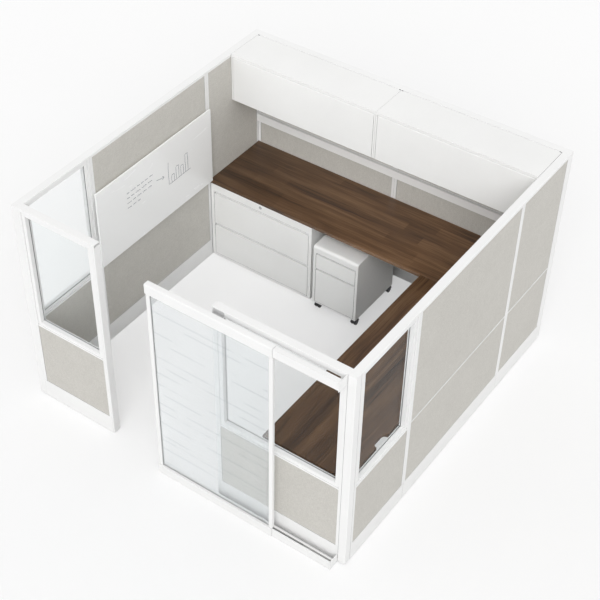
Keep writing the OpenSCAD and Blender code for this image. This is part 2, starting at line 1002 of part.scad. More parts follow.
module door_glass() {
    color(frost_tint)
        translate([door_x + door_stile_w, door_mid_y - door_glass_t / 2, floor_rail_top])
            cube([door_w - 2 * door_stile_w, door_glass_t, wall_h - hood_h - floor_rail_top]);
}

// Channel with turned-in lips, open upwards
module lipped_channel(w, h, wall, lip) {
    difference() {
        square([w, h]);
        translate([wall, wall])
            square([w - 2 * wall, h - 2 * wall]);
        translate([wall + lip, h - wall - overrun])
            square([w - 2 * wall - 2 * lip, wall + 2 * overrun]);
    }
}

// Fixed top track, open below
module track_top() {
    color(white)
        translate([track_x0, track_front, track_z1])
            mirror([0, 0, 1])
                sweep_x(track_x1 - track_x0)
                    lipped_channel(track_w, track_z1 - track_z0, track_wall, track_lip);
}

// Fixed floor track, open above
module track_floor() {
    color(white)
        translate([track_x0, floor_track_front, 0])
            sweep_x(track_x1 - track_x0)
                lipped_channel(floor_track_w, floor_track_h, track_wall, floor_lip);
}

// Bracket that holds the top track's left end off the wall
module track_mounts() {
    color(metal_grey)
        translate([track_x0, hood_back, (track_z0 + track_z1) / 2])
            sweep_x(bracket_l)
                difference() {
                    square([door_gap, bracket_h]);
                    translate([plate_t, plate_t])
                        square([door_gap - 2 * plate_t, bracket_h]);
                }
}

// Plates that close the right ends of both tracks and hold them off the wall
module track_end_plates() {
    color(white)
        for (z = [[0, floor_rail_top], [wall_h - hood_h, hood_h]])
            translate([track_x1, hood_front, z[0]])
                cube([end_plate_t, door_reach, z[1]]);
}

// Carriage in the top track: a smaller channel with two sets of sliding pads
module carriage_top() {
    height = carriage_z1 - carriage_z0;
    color(metal_grey)
        translate([carriage_x, carriage_front, carriage_z1])
            mirror([0, 0, 1]) {
                sweep_x(carriage_l)
                    lipped_channel(carriage_w, height, carriage_wall, carriage_lip);
                carriage_pads(carriage_w, height);
            }
}

// Carriage in the floor track, standing on its pads
module carriage_floor() {
    color(metal_grey)
        translate([carriage_x, floor_carriage_front, track_wall + carriage_gap]) {
            sweep_x(carriage_l)
                lipped_channel(floor_carriage_w, floor_carriage_h, carriage_wall, carriage_lip);
            carriage_pads(floor_carriage_w, floor_carriage_h);
        }
}

// Sliding pads on the right half of a carriage, on its sides and above and below it
module carriage_pads(w, h) {
    for (x = [(carriage_l + pad_l) / 2, carriage_l - 3 * pad_l / 2])
        translate([x, 0, 0]) {
            for (y = [-pad_t, w])
                translate([0, y, h / 4])
                    cube([pad_l, pad_t, h / 2]);
            translate([0, w / 4, -pad_t])
                cube([pad_l, w / 2, pad_t]);
            for (y = [0, w - carriage_wall])
                translate([0, y, h])
                    cube([pad_l, carriage_wall, pad_t]);
        }
}

// Guides on the door that run in the carriages, at the two ends of its right half
module door_guides() {
    head_z = carriage_z0 + carriage_wall + slide_gap;
    sill_z = wall_h - hood_h + hood_wall;
    floor_head_z = track_wall + carriage_gap + carriage_wall + slide_gap;
    floor_roof_z = floor_rail_top - hood_wall;
    floor_neck_y = floor_carriage_front + (floor_carriage_w - guide_neck) / 2;
    color(black)
        for (x = [(door_w + guide_l) / 2, door_w - 3 * guide_l / 2]) {
            door_guide(x, carriage_front, carriage_w, head_z);
            translate([door_x + x, carriage_front + (carriage_w - guide_neck) / 2, sill_z])
                cube([guide_l, guide_neck, head_z + overrun - sill_z]);
            door_guide(x, floor_carriage_front, floor_carriage_w, floor_head_z);
            translate([door_x + x, floor_neck_y, floor_head_z])
                cube([guide_l, guide_neck, floor_roof_z - floor_head_z]);
        }
}

// Head of a guide inside a carriage whose front and width are given
module door_guide(x, front, w, z) {
    translate([door_x + x, front + carriage_wall + slide_gap, z])
        cube([guide_l, w - 2 * carriage_wall - 2 * slide_gap, guide_head_h]);
}

// Storage case: a sheet box with a face frame round its drawers, a band above and a sill below
// them, and its front top edge rounded by the given radius
module storage_case(w, d, h, stile, band, sill, round_r) {
    difference() {
        sweep_x(w)
            difference() {
                square([d, h]);
                if (round_r > 0)
                    translate([0, h - round_r])
                        difference() {
                            translate([-overrun, 0])
                                square([round_r + overrun, round_r + overrun]);
                            translate([round_r, 0])
                                circle(round_r);
                        }
            }
        translate([sheet_t, case_face_d, sheet_t])
            cube([w - 2 * sheet_t, d - case_face_d - case_back_t, h - 2 * sheet_t]);
        translate([stile, -overrun, sill])
            cube([w - 2 * stile, case_face_d + 2 * overrun, h - band - sill]);
    }
}

// Folded drawer face with a finger recess of the given height under its top lip, and closed
// ends
module drawer_face(w, h, pull_h) {
    outline = [
        [front_t, 0], [0, 0], [0, h - pull_h], [pull_d, h - pull_h],
        [pull_d, h - pull_lip], [pull_set, h - pull_lip], [pull_set, h], [front_t, h]
    ];
    inside = [
        [front_t, h - sheet_t], [pull_d + sheet_t, h - sheet_t],
        [pull_d + sheet_t, h - pull_h - sheet_t], [sheet_t, h - pull_h - sheet_t],
        [sheet_t, sheet_t], [front_t, sheet_t]
    ];
    sweep_x(w)
        polygon(concat(outline, inside));
    for (x = [0, w - sheet_t])
        translate([x, 0, 0])
            sweep_x(sheet_t)
                polygon(outline);
}

// Drawer: its face, the panel behind the face and an open tray
module drawer(case_w, case_d, stile, face_h, pull_h) {
    face_w = case_w - 2 * stile - 2 * front_gap;
    tray_w = case_w - 2 * stile - 2 * tray_gap;
    tray_l = case_d - front_t - tray_back_gap;
    tray_h = face_h * tray_share;
    translate([stile + front_gap, 0, 0])
        drawer_face(face_w, face_h, pull_h);
    translate([stile + front_gap, front_t, 0])
        cube([face_w, sheet_t, face_h]);
    translate([stile + tray_gap, front_t + sheet_t, tray_rise])
        difference() {
            cube([tray_w, tray_l, tray_h]);
            translate([sheet_t, sheet_t, sheet_t])
                cube([tray_w - 2 * sheet_t, tray_l - 2 * sheet_t, tray_h]);
        }
}

// Pair of runners inside a case: channels that stand off its sides, with a ledge under the tray
module runners(case_w, case_d, stile) {
    length = case_d - case_face_d - tray_back_gap;
    reach = stile + tray_gap - sheet_t - slide_gap;
    channel_h = runner_h - 2 * runner_ledge_t;
    for (side = [0, 1])
        translate([side * case_w, 0, 0])
            mirror([side, 0, 0])
                translate([sheet_t, case_face_d, tray_rise - runner_ledge_t - slide_gap])
                    sweep_y(length)
                        difference() {
                            union() {
                                square([reach, runner_h]);
                                square([reach + runner_ledge, runner_ledge_t]);
                            }
                            translate([-overrun, runner_ledge_t])
                                square([reach + overrun - runner_ledge_t, channel_h]);
                        }
}

module file_case() {
    color(white)
        translate([file_x, file_y, file_foot_h])
            difference() {
                storage_case(file_w, file_d, file_h, file_stile, file_band_h, file_sill_h, 0);
                translate([file_w / 2, -overrun, file_h - lock_drop])
                    rotate([-90, 0, 0])
                        cylinder(h = case_face_d + 2 * overrun, r = lock_r + slide_gap);
            }
}

module file_feet() {
    color(black)
        for (x = [file_foot_inset, file_w - file_foot_inset])
            for (y = [file_foot_inset, file_d - file_foot_inset])
                translate([file_x + x, file_y + y, 0])
                    cylinder(h = file_foot_h, r = file_foot_r);
}

module file_runners() {
    color(metal_grey)
        for (row = [0, 1])
            translate([file_x, file_y, file_drawer_z + row * (file_drawer_h + front_gap)])
                runners(file_w, file_d, file_stile);
}

module file_drawer(row) {
    color(white)
        translate([file_x, file_y, file_drawer_z + row * (file_drawer_h + front_gap)])
            drawer(file_w, file_d, file_stile, file_drawer_h, file_pull_h);
}

module file_drawer_lower() { file_drawer(0); }
module file_drawer_upper() { file_drawer(1); }

// Lock barrel with a key slot, through the middle of the band
module file_lock() {
    color(metal_grey)
        translate([file_x + file_w / 2, file_y - lock_out, file_foot_h + file_h - lock_drop])
            difference() {
                rotate([-90, 0, 0]) {
                    cylinder(h = lock_out, r = lock_r + edge_r);
                    cylinder(h = lock_l, r = lock_r);
                }
                translate([-lock_slot_w / 2, -overrun, -lock_slot_l / 2])
                    cube([lock_slot_w, lock_slot_l / 2 + overrun, lock_slot_l]);
            }
}

module pedestal_case() {
    color(white)
        translate([pedestal_x, pedestal_y, caster_h])
            storage_case(
                pedestal_w, pedestal_d, pedestal_h, pedestal_stile, pedestal_band_h,
                pedestal_sill_h, pedestal_round
            );
}

module pedestal_runners() {
    color(metal_grey)
        for (z = [0, large_drawer_h + front_gap])
            translate([pedestal_x, pedestal_y, pedestal_drawer_z + z])
                runners(pedestal_w, pedestal_d, pedestal_stile);
}

module pedestal_drawer_lower() {
    color(white)
        translate([pedestal_x, pedestal_y, pedestal_drawer_z])
            drawer(pedestal_w, pedestal_d, pedestal_stile, large_drawer_h, pedestal_pull_h);
}

module pedestal_drawer_upper() {
    color(white)
        translate([pedestal_x, pedestal_y, pedestal_drawer_z + large_drawer_h + front_gap])
            drawer(pedestal_w, pedestal_d, pedestal_stile, small_drawer_h, pedestal_pull_h);
}

// Places a caster's pieces with its swivel axis at the local origin, trailing to the back
module at_caster(place) {
    translate([pedestal_x + place[0], pedestal_y + place[1], 0])
        children();
}

module caster_plates() {
    color(metal_grey)
        for (place = caster_places)
            at_caster(place)
                translate([-caster_plate_w / 2, -caster_plate_w / 2, caster_top])
                    cube([caster_plate_w, caster_plate_w, caster_plate_t]);
}

// Yoke: a web between the wheels, a half-round hood over them and a stem to the plate
module caster_yoke(place) {
    color(black)
        at_caster(place)
            difference() {
                union() {
                    translate([-web_w / 2, caster_trail, wheel_r])
                        rotate([0, 90, 0])
                            cylinder(h = web_w, r = wheel_r - edge_r);
                    translate([-web_w / 2, 0, wheel_r])
                        cube([web_w, caster_trail, wheel_r]);
                    intersection() {
                        translate([-caster_w / 2, caster_trail, wheel_r])
                            rotate([0, 90, 0])
                                difference() {
                                    cylinder(h = caster_w, r = caster_hood_r);
                                    translate([0, 0, -overrun])
                                        cylinder(h = caster_w + 2 * overrun, r = caster_hood_inner_r);
                                }
                        translate([-caster_w / 2, caster_trail - caster_hood_r, wheel_r])
                            cube([caster_w, 2 * caster_hood_r, caster_hood_r]);
                    }
                    translate([-web_w / 2, caster_trail - edge_r, wheel_r])
                        cube([web_w, 2 * edge_r, caster_hood_inner_r + hood_t / 2]);
                    translate([0, 0, wheel_r + wheel_r / 2])
                        cylinder(h = caster_top - wheel_r - wheel_r / 2, r = stem_r);
                }
                translate([-caster_w / 2, caster_trail, wheel_r])
                    rotate([0, 90, 0])
                        cylinder(h = caster_w, r = axle_r + axle_gap);
                for (x = [-caster_w / 2 - overrun, web_w / 2])
                    translate([x, caster_trail, wheel_r])
                        rotate([0, 90, 0])
                            cylinder(h = (caster_w - web_w) / 2 + overrun, r = caster_hood_inner_r);
            }
}

// Two wheels with rounded treads on one axle
module caster_wheels(place) {
    tread_r = wheel_t / 4;
    color(black)
        at_caster(place)
            translate([0, caster_trail, wheel_r])
                rotate([0, 90, 0]) {
                    for (side = [-1, 1])
                        translate([0, 0, side * (web_w / 2 + web_gap + wheel_t / 2) - wheel_t / 2])
                            rotate_extrude()
                                intersection() {
                                    translate([-wheel_r, 0])
                                        rounded_rect(2 * wheel_r, wheel_t, tread_r);
                                    square([wheel_r, wheel_t]);
                                }
                    translate([0, 0, -web_w / 2 - web_gap - wheel_t / 2])
                        cylinder(h = web_w + 2 * web_gap + wheel_t, r = axle_r);
                }
}

module caster_yoke_front_left() { caster_yoke(caster_places[0]); }
module caster_yoke_front_right() { caster_yoke(caster_places[1]); }
module caster_yoke_back_left() { caster_yoke(caster_places[2]); }
module caster_yoke_back_right() { caster_yoke(caster_places[3]); }
module caster_wheels_front_left() { caster_wheels(caster_places[0]); }
module caster_wheels_front_right() { caster_wheels(caster_places[1]); }
module caster_wheels_back_left() { caster_wheels(caster_places[2]); }
module caster_wheels_back_right() { caster_wheels(caster_places[3]); }

corner_posts();
corner_caps();
frames_left();
frames_back();
frames_right();
frames_front();
tiles_left();
tiles_back();
tiles_right();
tiles_front();
base_covers();
top_caps();
end_trims();
window_glass();
glazing_beads();
levelling_feet();
worksurface_main();
worksurface_return();
worksurface_brackets();
joining_plate();
whiteboard();
wall_rail();
rail_cover();
rail_lip();
rail_ends();
overhead_shell_left();
overhead_shell_right();
overhead_hooks();
overhead_pins();
track_top();
track_floor();
track_mounts();
track_end_plates();
file_case();
file_feet();
file_runners();
file_drawer_upper();
file_drawer_lower();
file_lock();
pedestal_case();
pedestal_runners();
pedestal_drawer_upper();
pedestal_drawer_lower();
caster_plates();
caster_yoke_front_left();
caster_yoke_front_right();
caster_yoke_back_left();
caster_yoke_back_right();
caster_wheels_front_left();
caster_wheels_front_right();
caster_wheels_back_left();
caster_wheels_back_right();
overhead_door_left();
overhead_door_right();
door_rails();
door_stiles();
door_glass();
door_guides();
carriage_top();
carriage_floor();
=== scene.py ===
import math
import random

import bmesh
import bpy
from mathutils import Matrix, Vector


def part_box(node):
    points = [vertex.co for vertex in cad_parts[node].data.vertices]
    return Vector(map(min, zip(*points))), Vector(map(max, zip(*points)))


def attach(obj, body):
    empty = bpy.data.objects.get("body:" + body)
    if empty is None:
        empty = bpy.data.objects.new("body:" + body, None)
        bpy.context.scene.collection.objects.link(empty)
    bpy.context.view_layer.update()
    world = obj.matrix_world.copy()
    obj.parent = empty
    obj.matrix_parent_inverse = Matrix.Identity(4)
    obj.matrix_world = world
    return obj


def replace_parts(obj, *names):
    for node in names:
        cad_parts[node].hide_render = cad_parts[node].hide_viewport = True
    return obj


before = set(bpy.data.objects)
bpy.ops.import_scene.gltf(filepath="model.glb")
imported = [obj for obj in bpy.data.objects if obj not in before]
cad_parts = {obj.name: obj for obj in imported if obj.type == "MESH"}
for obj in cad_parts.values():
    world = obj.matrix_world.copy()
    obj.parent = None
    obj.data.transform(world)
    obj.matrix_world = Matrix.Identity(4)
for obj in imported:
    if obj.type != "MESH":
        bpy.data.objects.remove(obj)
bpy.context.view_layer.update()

# Colours, linear
WHITE = (0.905, 0.905, 0.90)
CABINET = (0.89, 0.89, 0.88)
# Painted light: a lighter white than the frame's, lifting the file and pedestal fronts out of the
# shade inside the workstation
STORAGE_LIT_WHITE = (0.95, 0.95, 0.94)
# Painted light: a lighter white than the frame's, lifting the rail out of the shade under the
# overhead cabinets
RAIL_LIT_WHITE = (0.97, 0.97, 0.965)
CARRIAGE = (0.60, 0.60, 0.60)
BRACKET = (0.18, 0.185, 0.19)
DUST = (0.55, 0.53, 0.5)
# Painted shade: the dark colour mixed into paint in grooves, gaps and corners
GROOVE_SHADE = (0.20, 0.20, 0.205)
FABRIC_LIGHT = (0.688, 0.671, 0.627)
FABRIC_DARK = (0.521, 0.504, 0.466)
WALNUT_DARK = (0.036, 0.019, 0.010)
WALNUT_MID = (0.108, 0.055, 0.025)
WALNUT_LIGHT = (0.205, 0.117, 0.059)
GLASS = (0.982, 0.996, 0.998)
GLASS_WIPED = (0.974, 0.99, 0.993)
FILM = (0.965, 0.988, 0.998)
FILM_CLOUD = (0.975, 0.992, 1.0)
FILM_LINE = (0.60, 0.66, 0.70)
STEEL = (0.56, 0.57, 0.58)
ZINC = (0.62, 0.63, 0.64)
NYLON = (0.016, 0.016, 0.018)
ENAMEL = (0.985, 0.99, 0.985)
ENAMEL_GHOST = (0.80, 0.83, 0.87)
INK = (0.10, 0.11, 0.15)
INK_DRY = (0.62, 0.64, 0.68)

# Sizes in the materials, metres
# How close other surfaces must be for the painted shade in grooves and gaps
GROOVE_SHADE_REACH = 0.010
DUST_HEIGHT = 0.16
THREAD_PITCH = 0.0032
STAVE_WIDTH = 0.083
STAVE_LENGTH = 1.15
GRAIN_WANDER = 0.035
# Where the painted light along the walnut tops starts and stops
PAINTED_LIGHT_FROM, PAINTED_LIGHT_TO = -1.15, 0.5
FILM_ROW = 0.088

# Light: the studio's level, its share at each height above the horizon, and the soft key
SKY = 1.08
SKY_LEVELS = [(0.0, 1.0), (0.5, 0.95), (0.85, 0.48), (1.0, 0.28)]
KEY = 1.45
KEY_FROM = (0.42, -0.66, 0.60)
KEY_ANGLE = 40.0
FLOOR_DARK = (0.505, 0.505, 0.505)
FLOOR_LIGHT = (0.515, 0.515, 0.515)
FLOOR_GLOW = 0.455
FLOOR_HALF = 30.0

# The photograph's camera, fitted to its edges: millimetres, pixels, metres and degrees
SENSOR = 36.0
FRAME_PIXELS = 600.0
FOCAL_PIXELS = 1351.8
AXIS_PIXELS = (267.78, 336.2)
CAMERA_AT = (3.87861, -5.61227, 6.81681)
CAMERA_DOWN = 43.7077
CAMERA_TURN = 36.0957

# Share of the solid rail's height that the photograph's rail has
RAIL_SHARE = 0.68

# Marks on the board, as shares of its width and height
CHART_LEFT, CHART_RIGHT, CHART_FOOT, CHART_TOP = 0.60, 0.80, 0.42, 0.72
BAR_FIRST, BAR_STEP, BAR_WIDTH = 0.625, 0.042, 0.024
BAR_HEIGHTS = (0.10, 0.17, 0.13, 0.24)
ROW_START, ROW_GAP = 0.24, 0.012
ROW_ENDS = ((0.47, 0.72), (0.43, 0.655), (0.45, 0.59), (0.36, 0.525))
WAVE_POINTS, WAVE_HEIGHT, WAVE_STEP, WAVE_SHAKE = 9, 0.008, 2.1, 0.003
ARROW = ((0.49, 0.60, 0.56, 0.57, 7), (0.56, 0.57, 0.545, 0.60, 4), (0.56, 0.57, 0.54, 0.555, 4))

# The marks' ink, metres
HAND_SHAKE = 0.0016
INK_WIDTH = 0.0034
INK_ABOVE = 0.0002
INK_THICK = 0.0004

SOCKETS = {
    "color": "Base Color", "rough": "Roughness", "metal": "Metallic", "ior": "IOR",
    "trans": "Transmission Weight", "coat": "Coat Weight", "coat_rough": "Coat Roughness",
    "sheen": "Sheen Weight", "sheen_rough": "Sheen Roughness", "spec": "Specular IOR Level",
}


def shade(colour, share):
    return tuple(c * share for c in colour)


class Graph:
    """A material with short calls for its nodes. Coordinates are the object's own, in metres."""

    def __init__(self, name):
        self.mat = bpy.data.materials.new(name)
        self.mat.use_nodes = True
        self.tree = self.mat.node_tree
        self.bsdf = self.tree.nodes["Principled BSDF"]
        self.coords = self.add("ShaderNodeTexCoord").outputs["Object"]

    def add(self, kind, **settings):
        made = self.tree.nodes.new(kind)
        for key, value in settings.items():
            setattr(made, key, value)
        return made

    def put(self, socket, value):
        if hasattr(value, "is_output"):
            self.tree.links.new(value, socket)
        elif isinstance(value, tuple) and len(value) == 3 and socket.type == "RGBA":
            socket.default_value = value + (1.0,)
        else:
            socket.default_value = value

    def math(self, operation, a, b=None):
        made = self.add("ShaderNodeMath", operation=operation)
        self.put(made.inputs[0], a)
        if b is not None:
            self.put(made.inputs[1], b)
        return made.outputs[0]

    def weigh(self, *pairs):
        """The sum of each value times its weight."""
        parts = [self.math("MULTIPLY", value, weight) for value, weight in pairs]
        total = parts[0]
        for part in parts[1:]:
            total = self.math("ADD", total, part)
        return total

    def axes(self):
        made = self.add("ShaderNodeSeparateXYZ")
        self.put(made.inputs[0], self.coords)
        return made.outputs

    def point(self, *values):
        made = self.add("ShaderNodeCombineXYZ")
        for socket, value in zip(made.inputs, values):
            self.put(socket, value)
        return made.outputs[0]

    def stretch(self, scale, source=None):
        made = self.add("ShaderNodeMapping")
        self.put(made.inputs["Vector"], source or self.coords)
        made.inputs["Scale"].default_value = scale
        return made.outputs[0]

    def noise(self, scale, detail=3.0, rough=0.55, vector=None, distortion=0.0):
        made = self.add("ShaderNodeTexNoise")
        self.put(made.inputs["Vector"], vector or self.coords)
        made.inputs["Scale"].default_value = scale
        made.inputs["Detail"].default_value = detail
        made.inputs["Roughness"].default_value = rough
        made.inputs["Distortion"].default_value = distortion
        return made.outputs[0]

    def chance(self, number):
        """A random share for each whole number."""
        made = self.add("ShaderNodeTexWhiteNoise", noise_dimensions="1D")
        self.put(made.inputs["W"], number)
        return made.outputs[0]

    def ramp(self, factor, stops):
        made = self.add("ShaderNodeValToRGB")
        self.put(made.inputs[0], factor)
        elements = made.color_ramp.elements
        while len(elements) < len(stops):
            elements.new(0.5)
        for element, (place, colour) in zip(elements, stops):
            element.position = place
            element.color = colour + (1.0,)
        return made.outputs[0]

    def spread(self, value, low, high, to_low, to_high):
        made = self.add("ShaderNodeMapRange")
        self.put(made.inputs[0], value)
        for i, number in enumerate((low, high, to_low, to_high), 1):
            made.inputs[i].default_value = number
        return made.outputs[0]

    def mix(self, factor, a, b, blend="MIX"):
        made = self.add("ShaderNodeMix", data_type="RGBA", blend_type=blend)
        self.put(made.inputs[0], factor)
        self.put(made.inputs[6], a)
        self.put(made.inputs[7], b)
        return made.outputs[2]

    def bump(self, height, strength, distance):
        made = self.add("ShaderNodeBump")
        made.inputs["Strength"].default_value = strength
        made.inputs["Distance"].default_value = distance
        self.put(made.inputs["Height"], height)
        self.tree.links.new(made.outputs[0], self.bsdf.inputs["Normal"])

    def set(self, **values):
        for key, value in values.items():
            self.put(self.bsdf.inputs[SOCKETS[key]], value)


def powder_coat(name, colour, rough=0.46, groove_shade=0.55):
    """Baked powder paint: a fine orange peel, soft hand marks, dust low down, and painted shade in
    its grooves, gaps and corners.
    """
    g = Graph(name)
    marks = g.spread(g.noise(2.2, 5.0, 0.6), 0.35, 0.7, 0.0, 1.0)
    low_down = g.spread(g.axes()[2], DUST_HEIGHT, 0.0, 0.0, 1.0)
    dust = g.math("MULTIPLY", low_down, g.noise(38.0, 4.0))
    tone = g.mix(marks, colour, shade(colour, 0.965))
    tone = g.mix(g.math("MULTIPLY", dust, 0.16), tone, DUST)
    # Painted shade: where other surfaces are close, in grooves, gaps and corners, the colour is
    # darkened
    near = g.add("ShaderNodeAmbientOcclusion", samples=8)
    near.inputs["Distance"].default_value = GROOVE_SHADE_REACH
    tone = g.mix(g.spread(near.outputs["AO"], 0.25, 0.80, groove_shade, 0.0), tone, GROOVE_SHADE)
    g.set(color=tone, spec=0.28,
          rough=g.spread(g.noise(26.0, 4.0), 0.3, 0.7, rough - 0.06, rough + 0.07))
    g.bump(g.noise(620.0, 2.0), 0.10, 0.0004)
    return g.mat


def panel_cloth(name, light, dark):
    """Plain-weave panel cloth: threads both ways, heathered yarn and broad soft tone."""
    g = Graph(name)
    x, y, z = g.axes()
    turn = 2.0 * math.pi / THREAD_PITCH
    warp = g.math("SINE", g.math("MULTIPLY", g.math("ADD", x, y), turn))
    weft = g.math("SINE", g.math("MULTIPLY", z, turn))
    weave = g.math("MULTIPLY", warp, weft)
    slub_z = g.noise(1.0, 3.0, 0.6, g.stretch((380.0, 380.0, 34.0)))
    slub_x = g.noise(1.0, 3.0, 0.6, g.stretch((34.0, 34.0, 420.0)))
    yarn = g.math("MULTIPLY", g.math("ADD", slub_z, slub_x), 0.5)
    fleck = g.noise(150.0, 4.0, 0.7)
    broad = g.noise(5.0, 4.0, 0.6)
    tone = g.weigh((yarn, 0.9), (fleck, 0.55), (broad, 0.15), (weave, 0.06))
    middle = tuple((a + b) / 2 for a, b in zip(light, dark))
    g.set(color=g.ramp(tone, [(0.61, dark), (0.81, middle), (0.99, light)]),
          rough=g.spread(fleck, 0.3, 0.7, 0.86, 0.96), spec=0.2, sheen=0.12, sheen_rough=0.5)
    g.bump(g.weigh((weave, 0.5), (yarn, 1.2)), 0.55, 0.0007)
    return g.mat


def walnut(name, along_x, gloss, painted_light):
    """Dark walnut laminate: long staves of differing tone, streaked grain, fine pores, satin face.
    The last argument is painted light: the share of its colour at the near or left end and at the
    far or right one, making the top lighter towards the far or right end."""
    g = Graph(name)
    x, y, z = g.axes()
    along, across = (x, y) if along_x else (y, x)
    wander = g.math("MULTIPLY", g.math("SUBTRACT", g.noise(2.6, 2.0), 0.5), GRAIN_WANDER)
    line = g.point(along, g.math("ADD", across, wander), z)
    stave = g.math("FLOOR", g.math("DIVIDE", across, STAVE_WIDTH))
    shift = g.math("MULTIPLY", g.chance(stave), 7.0)
    piece = g.math("FLOOR", g.math("ADD", g.math("DIVIDE", along, STAVE_LENGTH), shift))
    tone_of = g.add("ShaderNodeTexWhiteNoise", noise_dimensions="2D")
    g.put(tone_of.inputs["Vector"], g.point(stave, piece))
    figure = g.noise(1.0, 6.0, 0.62, g.stretch((1.7, 34.0, 6.0), line), 0.6)
    streak = g.noise(1.0, 5.0, 0.7, g.stretch((3.2, 120.0, 8.0), line))
    pores = g.noise(1.0, 3.0, 0.75, g.stretch((22.0, 900.0, 30.0), line))
    own = g.math("SUBTRACT", tone_of.outputs[0], 0.5)
    tone = g.weigh((figure, 0.62), (streak, 0.5), (own, 0.17))
    colour = g.ramp(tone, [(0.36, WALNUT_DARK), (0.55, WALNUT_MID), (0.80, WALNUT_LIGHT)])
    colour = g.mix(g.spread(pores, 0.56, 0.74, 0.0, 0.40), colour, WALNUT_DARK)
    # Painted light: the colour is multiplied by a gradient that makes the top lighter towards the
    # far or right end
    share = g.spread(along, PAINTED_LIGHT_FROM, PAINTED_LIGHT_TO, *painted_light)
    lighter = g.add("ShaderNodeCombineColor")
    for channel in lighter.inputs[:3]:
        g.put(channel, share)
    colour = g.mix(1.0, colour, lighter.outputs[0], "MULTIPLY")
    g.set(color=colour, rough=g.spread(streak, 0.3, 0.7, 0.30, 0.40), spec=gloss)
    g.bump(g.math("SUBTRACT", streak, g.spread(pores, 0.5, 0.75, 0.0, 0.8)), 0.12, 0.0005)
    return g.mat


def clear_glass(name):
    """Clear float glass with a faint green-blue body and wiping marks."""
    g = Graph(name)
    smear = g.noise(1.0, 5.0, 0.6, g.stretch((6.0, 6.0, 2.2)))
    g.set(color=g.mix(g.spread(smear, 0.4, 0.7, 0.0, 0.5), GLASS, GLASS_WIPED),
          rough=g.spread(smear, 0.4, 0.75, 0.0, 0.004), trans=1.0, ior=1.08)
    return g.mat


def etched_glass(name):
    """Pale film on glass: a soft blue-white veil with fine broken level lines."""
    g = Graph(name)
    x, _, z = g.axes()
    row = g.math("DIVIDE", z, FILM_ROW)
    number = g.math("FLOOR", row)
    aim = g.math("ADD", g.math("MULTIPLY", g.chance(number), 0.7), 0.15)
    off = g.math("ABSOLUTE", g.math("SUBTRACT", g.math("FRACT", row), aim))
    thin = g.spread(off, 0.016, 0.034, 1.0, 0.0)
    broken = g.add("ShaderNodeTexNoise", noise_dimensions="2D")
    run = g.point(g.math("MULTIPLY", x, 3.4), g.math("MULTIPLY", number, 3.17))
    g.put(broken.inputs["Vector"], run)
    broken.inputs["Scale"].default_value = 1.0
    line = g.math("MULTIPLY", thin, g.spread(broken.outputs[0], 0.42, 0.52, 0.0, 1.0))
    cloud = g.noise(3.0, 4.0)
    g.set(color=g.mix(g.math("MULTIPLY", line, 0.55), g.mix(cloud, FILM, FILM_CLOUD), FILM_LINE),
          rough=g.spread(cloud, 0.3, 0.7, 0.0, 0.012), trans=0.84, ior=1.15)
    g.bump(line, 0.15, 0.0004)
    return g.mat


def brushed(name, colour, rough=0.34):
    """Metal with fine drawn lines and cloudy oxide."""
    g = Graph(name)
    lines = g.noise(1.0, 4.0, 0.7, g.stretch((14.0, 14.0, 1500.0)))
    cloud = g.spread(g.noise(14.0, 4.0), 0.3, 0.7, 0.0, 1.0)
    g.set(color=g.mix(cloud, colour, shade(colour, 0.82)), metal=1.0,
          rough=g.spread(lines, 0.3, 0.7, rough - 0.06, rough + 0.1))
    g.bump(lines, 0.1, 0.0002)
    return g.mat


def moulded(name, colour):
    """Moulded nylon: fine spark texture, rubbed lighter in patches."""
    g = Graph(name)
    rub = g.spread(g.noise(45.0, 5.0, 0.65), 0.5, 0.75, 0.0, 1.0)
    g.set(color=g.mix(rub, colour, tuple(c * 1.7 + 0.012 for c in colour)),
          rough=g.spread(g.noise(90.0, 3.0), 0.3, 0.7, 0.42, 0.6), spec=0.45)
    g.bump(g.noise(1500.0, 2.0), 0.2, 0.0002)
    return g.mat


def board_enamel(name):
    """Marker board: glossy enamel with faint wiped ink."""
    g = Graph(name)
    wipe = g.noise(1.0, 6.0, 0.66, g.stretch((5.0, 2.6, 7.5)), 1.2)
    g.set(color=g.mix(g.spread(wipe, 0.50, 0.80, 0.0, 0.07), ENAMEL, ENAMEL_GHOST),
          rough=g.spread(wipe, 0.3, 0.7, 0.24, 0.28), spec=0.5, coat=0.2, coat_rough=0.14)
    g.bump(g.noise(9.0, 3.0), 0.03, 0.0008)
    return g.mat


def marker_ink(name, colour):
    """Dry marker: dense in the middle of a stroke and patchy along it."""
    g = Graph(name)
    dry = g.spread(g.noise(210.0, 3.0, 0.7), 0.45, 0.7, 0.0, 0.55)
    g.set(color=g.mix(dry, colour, INK_DRY), rough=0.55)
    g.bump(dry, 0.1, 0.0002)
    return g.mat


# A fourth number, where given, is the strength of the painted shade in grooves and gaps (0.55 if
# not given)
paint_frame = powder_coat("paint_frame", WHITE)
paint_cabinet = powder_coat("paint_cabinet", CABINET, 0.42, 0.40)
paint_shell = powder_coat("paint_shell", CABINET, 0.42, 0.05)
# Painted light: the file and pedestal take a lighter white than the frame
paint_storage_lit = powder_coat("paint_storage_lit", STORAGE_LIT_WHITE, 0.44, 0.85)
# Painted light: the rail takes a lighter white than the frame
paint_rail_lit = powder_coat("paint_rail_lit", RAIL_LIT_WHITE, 0.42, 0.3)
paint_track = powder_coat("paint_track", WHITE, 0.40)
paint_carriage = powder_coat("paint_carriage", CARRIAGE, 0.42)
paint_grey = powder_coat("paint_grey", BRACKET, 0.5)
cloth = panel_cloth("panel_cloth", FABRIC_LIGHT, FABRIC_DARK)
